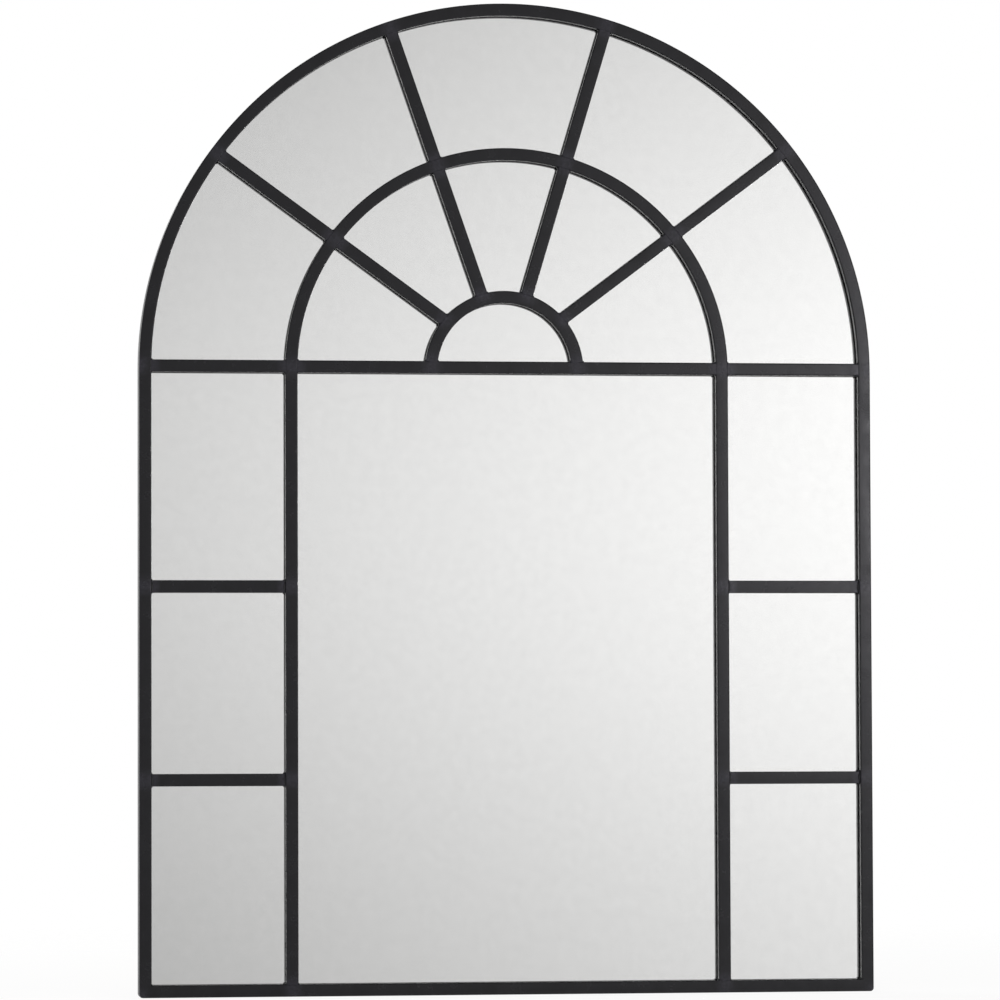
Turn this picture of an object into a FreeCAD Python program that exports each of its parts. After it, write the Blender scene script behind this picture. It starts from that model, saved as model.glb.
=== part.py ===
import FreeCAD, Part
import math
import os
from FreeCAD import Vector

# An arched window mirror: a welded grille of painted steel tube in front of one arched
# mirror sheet. All sizes are in millimetres. X runs to the viewer's right, the front
# looks towards -Y and Z is up. The pieces are built round the centre of the arch, with
# the wall at y = 0, and are written out round the middle of the two hanging keyholes.

# Overall size.
FRAME_WIDTH = 900.0
FRAME_DEPTH = 28.0

# Stock sections: rectangular tube of the grille, flat bar of the crossbars and the rim.
TUBE_WIDTH = 15.0
TUBE_DEPTH = 10.0
TUBE_WALL = 1.2
TUBE_EASE = 1.2
CROSSBAR_DEPTH = 5.0
CROSSBAR_EASE = 0.6
RIM_THICKNESS = 3.0

# Centre lines of the grille, measured from the arch's centre.
INNER_RADIUS = 265.0
HUB_RADIUS = 90.0
HUB_SHIFT = -4.0
TRANSOM_RISE = 3.5
CROSSBAR_DROPS = {"upper": 267.0, "lower": 501.0}
RAIL_DROP = 755.0

# Each spoke's direction in degrees from +X, and how far its centre line passes to the
# left of the arch's centre: the welded spokes stand a little off the true radii.
SPOKES = {
    "right_low": (37.0, 10.0),
    "right_high": (73.3, 3.6),
    "left_high": (109.0, 0.0),
    "left_low": (144.0, -4.0),
}

# Rounding of the two bottom corners, and the weld fillets between the bars.
CORNER_ROUND = 3.0
WELD_LEG = 2.0
WELD_SET_BACK = 1.5
END_WELD = 3.0

# The sheets behind the grille, from front to back.
TAPE_THICKNESS = 2.0
TAPE_WIDTH = 6.0
GLASS_THICKNESS = 4.0
SILVER_THICKNESS = 0.3
BOARD_THICKNESS = 3.0
SHEET_GAP = 0.05
EDGE_CLEARANCE = 2.0

# Rubber pads that carry the sheets on the rim.
PAD_LENGTH = 40.0
PAD_PLACES = (-220.0, 220.0)

# Bent clips that hold the board, each with one screw into the rim.
CLIP_WIDTH = 14.0
CLIP_FOOT = 12.0
CLIP_METAL = 1.2
CLIP_BEND = 0.5
CLIP_SEAT_GAP = 0.06
CLIP_BACK_GAP = 1.0
CLIP_LEG_HEIGHTS = (-395.0,)
CLIP_RAIL_PLACES = (-215.0, 215.0)
CLIP_ARCH_ANGLES = (12.0, 68.0, 112.0, 168.0)
SCREW_SHANK = 1.4
SCREW_HOLE = 1.45
CLIP_HOLE = 1.7
SCREW_REACH = 2.1
HOLE_DEPTH = 2.4
SCREW_HEAD = 2.85
SCREW_HEAD_SIDES = 6
SCREW_HEAD_HEIGHT = 1.8

# Keyhole plates, welded into the rim flush with its back edge.
KEYHOLE_SPACING = 560.0
KEYHOLE_RISE = 310.0
KEYHOLE_ENTRY = 5.5
KEYHOLE_SLOT = 2.5
KEYHOLE_TRAVEL = 12.0
PLATE_WIDTH = 36.0
PLATE_BELOW = 22.0
PLATE_THICKNESS = 2.0
PLATE_CORNER = 4.0

# Planes along the depth, all in front of the wall.
FRONT_Y = -FRAME_DEPTH
GRILLE_BACK_Y = FRONT_Y + TUBE_DEPTH
GRILLE_MID_Y = FRONT_Y + TUBE_DEPTH / 2
CROSSBAR_FRONT_Y = GRILLE_BACK_Y - CROSSBAR_DEPTH
GLASS_FRONT_Y = GRILLE_BACK_Y + TAPE_THICKNESS
GLASS_BACK_Y = GLASS_FRONT_Y + GLASS_THICKNESS
SILVER_FRONT_Y = GLASS_BACK_Y + SHEET_GAP
SILVER_BACK_Y = SILVER_FRONT_Y + SILVER_THICKNESS
BOARD_FRONT_Y = SILVER_BACK_Y + SHEET_GAP
BOARD_BACK_Y = BOARD_FRONT_Y + BOARD_THICKNESS
CLIP_BACK_Y = -CLIP_BACK_GAP
SCREW_Y = (BOARD_BACK_Y + CLIP_METAL + CLIP_BACK_Y) / 2

# Lines in plan.
OUTER_EDGE = FRAME_WIDTH / 2
HALF_TUBE = TUBE_WIDTH / 2
OUTER_RADIUS = OUTER_EDGE - HALF_TUBE
RAIL_Z = TRANSOM_RISE - RAIL_DROP
BOTTOM_Z = RAIL_Z - HALF_TUBE
RIM_INSIDE = OUTER_EDGE - RIM_THICKNESS
RIM_RADIUS = OUTER_EDGE - RIM_THICKNESS / 2
RIM_DEPTH = -GRILLE_BACK_Y
RIM_FLOOR_Z = BOTTOM_Z + RIM_THICKNESS
SHEET_RADIUS = RIM_INSIDE - EDGE_CLEARANCE
SHEET_BOTTOM_Z = RIM_FLOOR_Z + EDGE_CLEARANCE
EDGE_TAPE_RADIUS = (SHEET_RADIUS + OUTER_EDGE - TUBE_WIDTH) / 2
EDGE_TAPE_Z = (SHEET_BOTTOM_Z + BOTTOM_Z + TUBE_WIDTH) / 2

CENTRE = Vector(0, 0, 0)
DEPTH_AXIS = Vector(0, 1, 0)
TURN_AXIS = Vector(0, -1, 0)
SIDES = {"left": -1, "right": 1}


def eased_face(width, depth, ease):
    """Rectangle in the XY plane, centred on the origin, its two front corners eased."""
    half_x = width / 2
    half_y = depth / 2
    points = [
        Vector(half_x, half_y, 0),
        Vector(-half_x, half_y, 0),
        Vector(-half_x, ease - half_y, 0),
        Vector(ease - half_x, -half_y, 0),
        Vector(half_x - ease, -half_y, 0),
        Vector(half_x, ease - half_y, 0),
    ]
    return Part.Face(Part.makePolygon(points + points[:1]))


def tube_face():
    """Section of the hollow grille tube."""
    bore = block_face(TUBE_WIDTH - 2 * TUBE_WALL, TUBE_DEPTH - 2 * TUBE_WALL)
    return eased_face(TUBE_WIDTH, TUBE_DEPTH, TUBE_EASE).cut(bore).Faces[0]


def block_face(width, depth):
    """Plain rectangle in the XY plane, centred on the origin."""
    return Part.makePlane(width, depth, Vector(-width / 2, -depth / 2, 0))


def bar_between(face, start, end, middle_y):
    """Section swept along the straight line between two (x, z) points."""
    run_x = end[0] - start[0]
    run_z = end[1] - start[1]
    bar = face.extrude(Vector(0, 0, math.hypot(run_x, run_z)))
    bar.rotate(CENTRE, DEPTH_AXIS, math.degrees(math.atan2(run_x, run_z)))
    bar.translate(Vector(start[0], middle_y, start[1]))
    return bar


def bar_around(face, radius, middle_y, centre_x=0.0):
    """Section swept through half a turn over the spring line."""
    profile = face.copy()
    profile.translate(Vector(radius, middle_y, 0))
    bar = profile.revolve(CENTRE, TURN_AXIS, 180)
    bar.translate(Vector(centre_x, 0, 0))
    return bar


def largest_solid(shape):
    """The biggest solid of a shape."""
    return max(shape.Solids, key=lambda solid: solid.Volume)


def trimmed(bar, neighbours):
    """Bar cut back to the faces of the bars that it meets."""
    for neighbour in neighbours:
        if bar.BoundBox.intersect(neighbour.BoundBox):
            bar = bar.cut(neighbour)
    return largest_solid(bar)


def mirrored(shape):
    """The same piece on the other side of the centre line."""
    return shape.mirror(CENTRE, Vector(1, 0, 0))


def prism(points, front_y, back_y):
    """Prism over (x, z) points, from a front plane to a back plane."""
    corners = [Vector(x, front_y, z) for x, z in points]
    outline = Part.makePolygon(corners + corners[:1])
    return Part.Face(outline).extrude(Vector(0, back_y - front_y, 0))


def disc(radius, front_y, back_y, x=0.0, z=0.0):
    """Round bar along the depth."""
    return Part.makeCylinder(radius, back_y - front_y, Vector(x, front_y, z), DEPTH_AXIS)


def arched_sheet(radius, bottom_z, front_y, back_y):
    """Flat sheet with straight sides and a half-round top."""
    left = Vector(-radius, front_y, 0)
    right = Vector(radius, front_y, 0)
    low_left = Vector(-radius, front_y, bottom_z)
    low_right = Vector(radius, front_y, bottom_z)
    edges = [
        Part.Arc(right, Vector(0, front_y, radius), left).toShape(),
        Part.makeLine(left, low_left),
        Part.makeLine(low_left, low_right),
        Part.makeLine(low_right, right),
    ]
    return Part.Face(Part.Wire(edges)).extrude(Vector(0, back_y - front_y, 0))


def spoke_point(name, radius):
    """Point of a spoke's centre line at a distance from the arch's centre."""
    angle, offset = SPOKES[name]
    along = math.sqrt(radius ** 2 - offset ** 2)
    cos_a = math.cos(math.radians(angle))
    sin_a = math.sin(math.radians(angle))
    return along * cos_a - offset * sin_a, along * sin_a + offset * cos_a


def full_bars(face):
    """Every bar of the grille at full length, each named, the through bars first."""

    def straight(start, end):
        return bar_between(face, start, end, GRILLE_MID_Y)

    bars = {"outer_arch": bar_around(face, OUTER_RADIUS, GRILLE_MID_Y)}
    for side, sign in SIDES.items():
        outer = sign * OUTER_RADIUS
        bars["outer_stile_" + side] = straight((outer, BOTTOM_Z), (outer, 0.0))
    bars["bottom_rail"] = straight((-OUTER_EDGE, RAIL_Z), (OUTER_EDGE, RAIL_Z))
    bars["inner_arch"] = bar_around(face, INNER_RADIUS, GRILLE_MID_Y)
    for side, sign in SIDES.items():
        inner = sign * INNER_RADIUS
        outer = sign * OUTER_RADIUS
        bars["inner_stile_" + side] = straight((inner, RAIL_Z), (inner, 0.0))
        bars["transom_" + side] = straight((inner, TRANSOM_RISE), (outer, TRANSOM_RISE))
    bars["transom_middle"] = straight((-INNER_RADIUS, TRANSOM_RISE), (INNER_RADIUS, TRANSOM_RISE))
    bars["hub_arch"] = bar_around(face, HUB_RADIUS, GRILLE_MID_Y, HUB_SHIFT)
    for name in SPOKES:
        middle = spoke_point(name, INNER_RADIUS)
        bars["inner_spoke_" + name] = straight(spoke_point(name, HUB_RADIUS), middle)
        bars["outer_spoke_" + name] = straight(middle, spoke_point(name, OUTER_RADIUS))
    return bars


def mitre_wedge(keep_rail):
    """Half of the bottom right corner, cut along its mitre at 45 degrees."""
    reach = 2 * TUBE_WIDTH
    outward = (OUTER_EDGE + reach, BOTTOM_Z - reach)
    inward = (OUTER_EDGE - reach, BOTTOM_Z + reach)
    waste = (outward[0], inward[1]) if keep_rail else (inward[0], outward[1])
    return prism((outward, waste, inward), FRONT_Y, GRILLE_BACK_Y)


def corner_trim():
    """Waste outside the rounding of the bottom right corner."""
    x = OUTER_EDGE - CORNER_ROUND
    z = BOTTOM_Z + CORNER_ROUND
    block = Part.makeBox(CORNER_ROUND, FRAME_DEPTH, CORNER_ROUND, Vector(x, FRONT_Y, BOTTOM_Z))
    return block.cut(disc(CORNER_ROUND, FRONT_Y, 0.0, x, z))


def make_grille(envelopes):
    """Tubes of the grille, each cut back to the bars that run through before it."""
    waste = corner_trim()
    mitres = {
        "outer_stile_right": [mitre_wedge(keep_rail=False), waste],
        "outer_stile_left": [mirrored(mitre_wedge(keep_rail=False)), mirrored(waste)],
        "bottom_rail": [mitre_wedge(keep_rail=True), waste],
    }
    mitres["bottom_rail"] += [mirrored(cutter) for cutter in mitres["bottom_rail"]]
    grille = {}
    through = []
    for name, bar in full_bars(tube_face()).items():
        grille[name] = trimmed(bar, mitres.get(name, through))
        through.append(envelopes[name])
    return grille


def crossbar_lines():
    """Name, start and end of each crossbar, from inner stile to outer stile."""
    for level, drop in CROSSBAR_DROPS.items():
        for side, sign in SIDES.items():
            start = (sign * (INNER_RADIUS + HALF_TUBE), TRANSOM_RISE - drop)
            end = (sign * (OUTER_RADIUS - HALF_TUBE), TRANSOM_RISE - drop)
            yield "crossbar_" + level + "_" + side, start, end


def make_crossbars():
    """Flat crossbars of the side lights, flush with the grille's rear plane."""
    flat = eased_face(TUBE_WIDTH, CROSSBAR_DEPTH, CROSSBAR_EASE)
    middle_y = GRILLE_BACK_Y - CROSSBAR_DEPTH / 2
    return {name: bar_between(flat, start, end, middle_y) for name, start, end in crossbar_lines()}


def pane_corner_welds(envelopes):
    """Weld fillets in the corners of every pane, clear of the crossbars' set-back faces."""
    front_y = FRONT_Y + WELD_SET_BACK
    back_y = GRILLE_BACK_Y - WELD_SET_BACK
    block = block_face(TUBE_WIDTH, TUBE_DEPTH)
    crossbars = [bar_between(block, start, end, GRILLE_MID_Y) for _, start, end in crossbar_lines()]
    field = arched_sheet(OUTER_RADIUS, RAIL_Z, front_y, back_y)
    welds = []
    for pane in field.cut(list(envelopes.values()) + crossbars).Solids:
        uprights = [edge for edge in pane.Edges if abs(edge.tangentAt(edge.FirstParameter).y) > 0.9]
        welds += pane.cut(pane.makeChamfer(WELD_LEG, uprights)).Solids
    set_backs = []
    for _, start, end in crossbar_lines():
        zone = block_face(TUBE_WIDTH + 3 * WELD_LEG, CROSSBAR_FRONT_Y - FRONT_Y)
        set_backs.append(bar_between(zone, start, end, (FRONT_Y + CROSSBAR_FRONT_Y) / 2))
    return [trimmed(weld, set_backs) for weld in welds]


def crossbar_end_welds():
    """Fillet welds between each crossbar's face and the sides of its two stiles."""
    height = TUBE_WIDTH - 2 * WELD_SET_BACK
    welds = []
    for _, start, end in crossbar_lines():
        inward = math.copysign(END_WELD, end[0] - start[0])
        for x, z, leg in ((start[0], start[1], inward), (end[0], end[1], -inward)):
            root = Vector(x, CROSSBAR_FRONT_Y, z - height / 2)
            corners = [root, root + Vector(leg, 0, 0), root + Vector(0, -END_WELD, 0), root]
            welds.append(Part.Face(Part.makePolygon(corners)).extrude(Vector(0, 0, height)))
    return welds


def rim_bolt_line(radius, start, end):
    """Round bar on a clip's screw line, with X outwards from the rim's inner face."""
    return Part.makeCylinder(radius, end - start, Vector(start, SCREW_Y, 0), Vector(1, 0, 0))


def make_rim(clips_at):
    """Flat bar welded on edge behind the outer tubes, which boxes in the sheets."""
    flat = block_face(RIM_THICKNESS, RIM_DEPTH)
    middle_y = GRILLE_BACK_Y / 2
    floor_z = BOTTOM_Z + RIM_THICKNESS / 2
    right = bar_between(flat, (RIM_RADIUS, BOTTOM_Z), (RIM_RADIUS, 0.0), middle_y).cut(corner_trim())
    rim = {
        "rear_rim_arch": bar_around(flat, RIM_RADIUS, middle_y),
        "rear_rim_right": right,
        "rear_rim_left": mirrored(right),
        "rear_rim_bottom": bar_between(flat, (-RIM_INSIDE, floor_z), (RIM_INSIDE, floor_z), middle_y),
    }
    hole = rim_bolt_line(SCREW_HOLE, -HOLE_DEPTH, HOLE_DEPTH)
    holes = [placed_on_rim(hole, place) for place in clips_at]
    return {name: trimmed(bar, holes) for name, bar in rim.items()}


def make_sheets():
    """Mirror glass, its silvering and the board behind them."""
    layers = {
        "mirror_glass": (GLASS_FRONT_Y, GLASS_BACK_Y),
        "mirror_silvering": (SILVER_FRONT_Y, SILVER_BACK_Y),
        "back_board": (BOARD_FRONT_Y, BOARD_BACK_Y),
    }
    return {name: arched_sheet(SHEET_RADIUS, SHEET_BOTTOM_Z, *planes) for name, planes in layers.items()}


def make_tapes():
    """Foam tape between the grille's rear plane and the glass."""
    strip = block_face(TAPE_WIDTH, TAPE_THICKNESS)
    middle_y = GRILLE_BACK_Y + TAPE_THICKNESS / 2
    half = TAPE_WIDTH / 2
    edge_x = EDGE_TAPE_RADIUS
    rail_end = edge_x - half
    edge = [
        bar_around(strip, edge_x, middle_y),
        bar_between(strip, (-edge_x, EDGE_TAPE_Z - half), (-edge_x, 0.0), middle_y),
        bar_between(strip, (edge_x, EDGE_TAPE_Z - half), (edge_x, 0.0), middle_y),
        bar_between(strip, (-rail_end, EDGE_TAPE_Z), (rail_end, EDGE_TAPE_Z), middle_y),
    ]
    stile_foot = EDGE_TAPE_Z + half
    grille = [
        bar_around(strip, INNER_RADIUS, middle_y),
        bar_between(strip, (-INNER_RADIUS, stile_foot), (-INNER_RADIUS, 0.0), middle_y),
        bar_between(strip, (INNER_RADIUS, stile_foot), (INNER_RADIUS, 0.0), middle_y),
    ]
    return {"edge_tape": Part.makeCompound(edge), "grille_tape": Part.makeCompound(grille)}


def make_pads():
    """Rubber pads under the sheets, on the floor of the rim."""
    depth = BOARD_BACK_Y - GLASS_FRONT_Y
    pads = []
    for x in PAD_PLACES:
        corner = Vector(x - PAD_LENGTH / 2, GLASS_FRONT_Y, RIM_FLOOR_Z)
        pads.append(Part.makeBox(PAD_LENGTH, depth, EDGE_CLEARANCE, corner))
    return Part.makeCompound(pads)


def clip_places():
    """Point on the rim's inner face and outward direction in degrees of each clip."""
    places = [(x, RIM_FLOOR_Z, -90.0) for x in CLIP_RAIL_PLACES]
    for z in CLIP_LEG_HEIGHTS:
        places += [(RIM_INSIDE, z, 0.0), (-RIM_INSIDE, z, 180.0)]
    for angle in CLIP_ARCH_ANGLES:
        x = RIM_INSIDE * math.cos(math.radians(angle))
        z = RIM_INSIDE * math.sin(math.radians(angle))
        places.append((x, z, angle))
    return places


def placed_on_rim(shape, place):
    """Copy of a piece drawn with +X outwards, moved to its place on the rim."""
    x, z, direction = place
    copy = shape.copy()
    copy.rotate(CENTRE, TURN_AXIS, direction)
    copy.translate(Vector(x, 0, z))
    return copy


def board_clip():
    """Bent strip with a foot on the board and a drilled leg against the rim."""
    low_z = -CLIP_WIDTH / 2
    foot_end = -CLIP_SEAT_GAP - CLIP_FOOT
    leg_face = -CLIP_SEAT_GAP
    leg_inside = leg_face - CLIP_METAL
    foot_top = BOARD_BACK_Y + CLIP_METAL
    outline = [
        Vector(foot_end, BOARD_BACK_Y, low_z),
        Vector(leg_face - CLIP_METAL, BOARD_BACK_Y, low_z),
        Vector(leg_face, foot_top, low_z),
        Vector(leg_face, CLIP_BACK_Y, low_z),
        Vector(leg_inside, CLIP_BACK_Y, low_z),
        Vector(leg_inside, foot_top + CLIP_BEND, low_z),
        Vector(leg_inside - CLIP_BEND, foot_top, low_z),
        Vector(foot_end, foot_top, low_z),
    ]
    clip = Part.Face(Part.makePolygon(outline + outline[:1])).extrude(Vector(0, 0, CLIP_WIDTH))
    return largest_solid(clip.cut(rim_bolt_line(CLIP_HOLE, foot_end, 0.0)))


def clip_screw():
    """Hexagon-headed screw from the clip's leg into the rim, a flat to the clip's foot."""
    seat = -CLIP_SEAT_GAP - CLIP_METAL
    corners = []
    for corner in range(SCREW_HEAD_SIDES + 1):
        turn = math.pi * (2 * corner + 1) / SCREW_HEAD_SIDES
        corners.append(Vector(seat, SCREW_Y + SCREW_HEAD * math.cos(turn), SCREW_HEAD * math.sin(turn)))
    head = Part.Face(Part.makePolygon(corners)).extrude(Vector(-SCREW_HEAD_HEIGHT, 0, 0))
    return largest_solid(head.fuse(rim_bolt_line(SCREW_SHANK, seat, SCREW_REACH)))


def keyhole_plate():
    """Right-hand hanging plate: its outer edge follows the rim, with one keyhole."""
    x = KEYHOLE_SPACING / 2
    low_z = KEYHOLE_RISE - PLATE_BELOW
    blank = Part.makeBox(
        PLATE_WIDTH, PLATE_THICKNESS, OUTER_EDGE - low_z, Vector(x - PLATE_WIDTH / 2, -PLATE_THICKNESS, low_z)
    )
    low_corners = [
        edge
        for edge in blank.Edges
        if abs(edge.BoundBox.ZMax - low_z) < SHEET_GAP and edge.BoundBox.XLength < SHEET_GAP
    ]
    plate = blank.makeFillet(PLATE_CORNER, low_corners)
    plate = plate.common(disc(RIM_INSIDE, -PLATE_THICKNESS, 0.0))
    slot_corner = Vector(x - KEYHOLE_SLOT, -PLATE_THICKNESS, KEYHOLE_RISE)
    slot = Part.makeBox(2 * KEYHOLE_SLOT, PLATE_THICKNESS, KEYHOLE_TRAVEL, slot_corner)
    for cutter in (
        disc(KEYHOLE_ENTRY, -PLATE_THICKNESS, 0.0, x, KEYHOLE_RISE),
        slot,
        disc(KEYHOLE_SLOT, -PLATE_THICKNESS, 0.0, x, KEYHOLE_RISE + KEYHOLE_TRAVEL),
    ):
        plate = plate.cut(cutter)
    return largest_solid(plate)


def make_nodes():
    """All pieces by node name."""
    envelopes = full_bars(block_face(TUBE_WIDTH, TUBE_DEPTH))
    places = clip_places()
    clip = board_clip()
    screw = clip_screw()
    plate = keyhole_plate()
    nodes = make_grille(envelopes)
    nodes.update(make_crossbars())
    nodes["grille_welds"] = Part.makeCompound(pane_corner_welds(envelopes))
    nodes["crossbar_welds"] = Part.makeCompound(crossbar_end_welds())
    nodes.update(make_rim(places))
    nodes.update(make_sheets())
    nodes.update(make_tapes())
    nodes["glass_pads"] = make_pads()
    nodes["board_clips"] = Part.makeCompound([placed_on_rim(clip, place) for place in places])
    nodes["clip_screws"] = Part.makeCompound([placed_on_rim(screw, place) for place in places])
    nodes["keyhole_plate_right"] = plate
    nodes["keyhole_plate_left"] = mirrored(plate)
    return nodes


os.makedirs("parts", exist_ok=True)
for node_name, node in make_nodes().items():
    node.translate(Vector(0, 0, -KEYHOLE_RISE))
    node.exportStep("parts/" + node_name + ".step")
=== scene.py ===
"""Looks of the arched window mirror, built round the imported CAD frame.

Every length is in metres, in the CAD frame: X to the viewer's right, the front towards -Y,
Z up, and the origin on the wall plane, midway between the two hanging keyholes.
"""

import logging
import math
from collections.abc import Iterator, Sequence
from dataclasses import dataclass, field
from enum import Enum

import bmesh
import bpy
from bmesh.types import BMesh, BMFace, BMVert
from bpy.types import Material, Node, NodeSocket, NodeTree, Object
from mathutils import Matrix, Vector, noise


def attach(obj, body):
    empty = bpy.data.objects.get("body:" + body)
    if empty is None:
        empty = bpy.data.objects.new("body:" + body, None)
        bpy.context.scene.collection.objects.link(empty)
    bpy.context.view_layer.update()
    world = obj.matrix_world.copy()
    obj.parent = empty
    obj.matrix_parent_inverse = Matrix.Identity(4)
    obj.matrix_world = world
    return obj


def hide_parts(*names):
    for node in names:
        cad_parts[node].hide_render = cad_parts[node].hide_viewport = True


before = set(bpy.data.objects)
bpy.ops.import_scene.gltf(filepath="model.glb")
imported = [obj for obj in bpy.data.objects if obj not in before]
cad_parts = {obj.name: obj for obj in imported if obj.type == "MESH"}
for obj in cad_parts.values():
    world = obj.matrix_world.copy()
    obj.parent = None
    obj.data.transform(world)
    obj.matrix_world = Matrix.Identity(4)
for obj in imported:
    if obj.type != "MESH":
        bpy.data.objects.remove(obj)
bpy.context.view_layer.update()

MM = 0.001
IMAGE_PIXELS = 1000
SHARP_ANGLE = math.radians(35)
RING_PITCH = 6 * MM
CUT_TOLERANCE = 1e-7
MERGE_DISTANCE = 1e-6
# Sockets of a Map Range node, in the order in which the numbers are given below.
RANGE = ("From Min", "From Max", "To Min", "To Max")
LOG = logging.getLogger("window_mirror")


class Slot(Enum):
    """Material slots of the record."""

    PAINT = "black_paint"
    WELD = "weld_paint"
    GLASS = "clear_glass"
    SILVER = "silvering"
    BOARD = "fibreboard"
    FOAM = "foam"
    RUBBER = "pad_rubber"
    ZINC = "zinc_plate"


class Side(Enum):
    """Side of the centre line, as the sign of X."""

    LEFT = -1
    RIGHT = 1

    @property
    def word(self) -> str:
        """The side as it stands in the names of pieces and nodes."""
        return self.name.lower()


class Grain(Enum):
    """Texture that draws a finish's grain: soft noise, or the cells of a foam."""

    NOISE = "TexNoise"
    CELLS = "TexVoronoi"


# ---- node helpers


def linear(colour: str) -> tuple[float, float, float, float]:
    """Turn an sRGB hex colour to linear.

    Args:
        colour: six hex digits after a hash.

    Returns:
        Linear red, green, blue and an alpha of 1.
    """
    parts = [int(colour[at : at + 2], 16) / 255 for at in (1, 3, 5)]
    channels = [c / 12.92 if c <= 0.04045 else ((c + 0.055) / 1.055) ** 2.4 for c in parts]
    return (*channels, 1.0)


def add_node(
    tree: NodeTree,
    kind: str,
    values: dict | None = None,
    links: dict | None = None,
    stops: Sequence[tuple[float, str]] = (),
    **properties: object,
) -> Node:
    """Add a node with its properties, socket values and incoming links.

    Args:
        tree: the material's or world's node tree.
        kind: the node's type name without its "ShaderNode" prefix.
        values: socket name or number, and the value that it gets.
        links: socket name or number, and the socket that it reads, or the node by its first output.
        stops: positions and hex colours of a colour ramp.
        properties: the node's own settings.

    Returns:
        The new node.
    """
    node = tree.nodes.new("ShaderNode" + kind)
    for name, value in properties.items():
        setattr(node, name, value)
    for name, value in (values or {}).items():
        node.inputs[name].default_value = value
    for name, source in (links or {}).items():
        socket = source.outputs[0] if isinstance(source, Node) else source
        tree.links.new(socket, node.inputs[name])
    if stops:
        elements = node.color_ramp.elements
        while len(elements) < len(stops):
            elements.new(1.0)
        for element, (position, colour) in zip(elements, stops):
            element.position = position
            element.color = linear(colour)
    return node


def new_material(name: str) -> tuple[Material, NodeTree, NodeSocket]:
    """Make a node material that has nothing but its place on the piece.

    Args:
        name: the finish's name.

    Returns:
        The material, its node tree and the socket with the piece's own coordinates.
    """
    material = bpy.data.materials.new(name)
    material.use_nodes = True
    tree = material.node_tree
    tree.nodes.clear()
    return material, tree, add_node(tree, "TexCoord").outputs["Object"]


def per_metre(size_mm: float) -> float:
    """Scale of a texture whose features are about size_mm millimetres across."""
    return 1.0 / (size_mm * MM)


def put_in_scene(name: str, data: bpy.types.ID) -> Object:
    """Make an object of a mesh, lamp or camera and link it to the scene."""
    made = bpy.data.objects.new(name, data)
    bpy.context.scene.collection.objects.link(made)
    return made


def mesh_object(bm: BMesh, name: str, material: Material) -> Object:
    """Turn a finished mesh into an object.

    Args:
        bm: the mesh, which is used up.
        name: name of the object.
        material: its material.

    Returns:
        The object.
    """
    mesh = bpy.data.meshes.new(name)
    bm.to_mesh(mesh)
    bm.free()
    mesh.materials.append(material)
    return put_in_scene(name, mesh)


# ---- finishes


@dataclass(frozen=True)
class Finish:
    """A finish whose tone, gloss and relief all follow one fine grain.

    texture holds the grain's own settings, and fixed the shader's. streaks is the angle and the
    squeeze of a grain that runs one way. relief is the bump's strength and its height in
    millimetres. clouds is the share and the size in millimetres of broad patches in the tone.
    """

    name: str
    grain_mm: float
    tones: tuple[tuple[float, str], ...] = ()
    grain: Grain = Grain.NOISE
    texture: dict[str, float] = field(default_factory=dict)
    fixed: dict[str, object] = field(default_factory=dict)
    streaks: tuple[float, float] | None = None
    gloss: tuple[float, float] | None = None
    gloss_span: tuple[float, float] = (0.0, 1.0)
    relief: tuple[float, float] | None = None
    clouds: tuple[float, float] | None = None

    def patterns(self, tree: NodeTree, place: NodeSocket) -> dict:
        """Read tone, gloss and relief from the grain.

        Args:
            tree: the material's node tree.
            place: the piece's own coordinates.

        Returns:
            What the shader's sockets read.
        """
        along = place
        if self.streaks:
            angle, squeeze = self.streaks
            turn = {"Rotation": (0.0, math.radians(angle), 0.0), "Scale": (1.0, 1.0, squeeze)}
            along = add_node(tree, "Mapping", turn, {"Vector": place})
        texture = {"Scale": per_metre(self.grain_mm), **self.texture}
        grain = tone = add_node(tree, self.grain.value, texture, {"Vector": along})
        if self.clouds:
            share, size_mm = self.clouds
            cloud = {"Scale": per_metre(size_mm), "Detail": 3.0}
            broad = add_node(tree, "TexNoise", cloud, {"Vector": place})
            tone = add_node(tree, "Mix", {0: share}, {2: grain, 3: broad}, data_type="FLOAT")
        links = {}
        if self.tones:
            links["Base Color"] = add_node(tree, "ValToRGB", links={"Fac": tone}, stops=self.tones)
        if self.gloss:
            span = dict(zip(RANGE, self.gloss_span + self.gloss))
            links["Roughness"] = add_node(tree, "MapRange", span, {"Value": grain})
        if self.relief:
            strength, height_mm = self.relief
            depth = {"Strength": strength, "Distance": height_mm * MM}
            links["Normal"] = add_node(tree, "Bump", depth, {"Height": grain})
        return links

    def material(self) -> Material:
        """Build the finish.

        Returns:
            The material.
        """
        material, tree, place = new_material(self.name)
        shader = add_node(tree, "BsdfPrincipled", self.fixed, self.patterns(tree, place))
        add_node(tree, "OutputMaterial", links={"Surface": shader})
        return material


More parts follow.
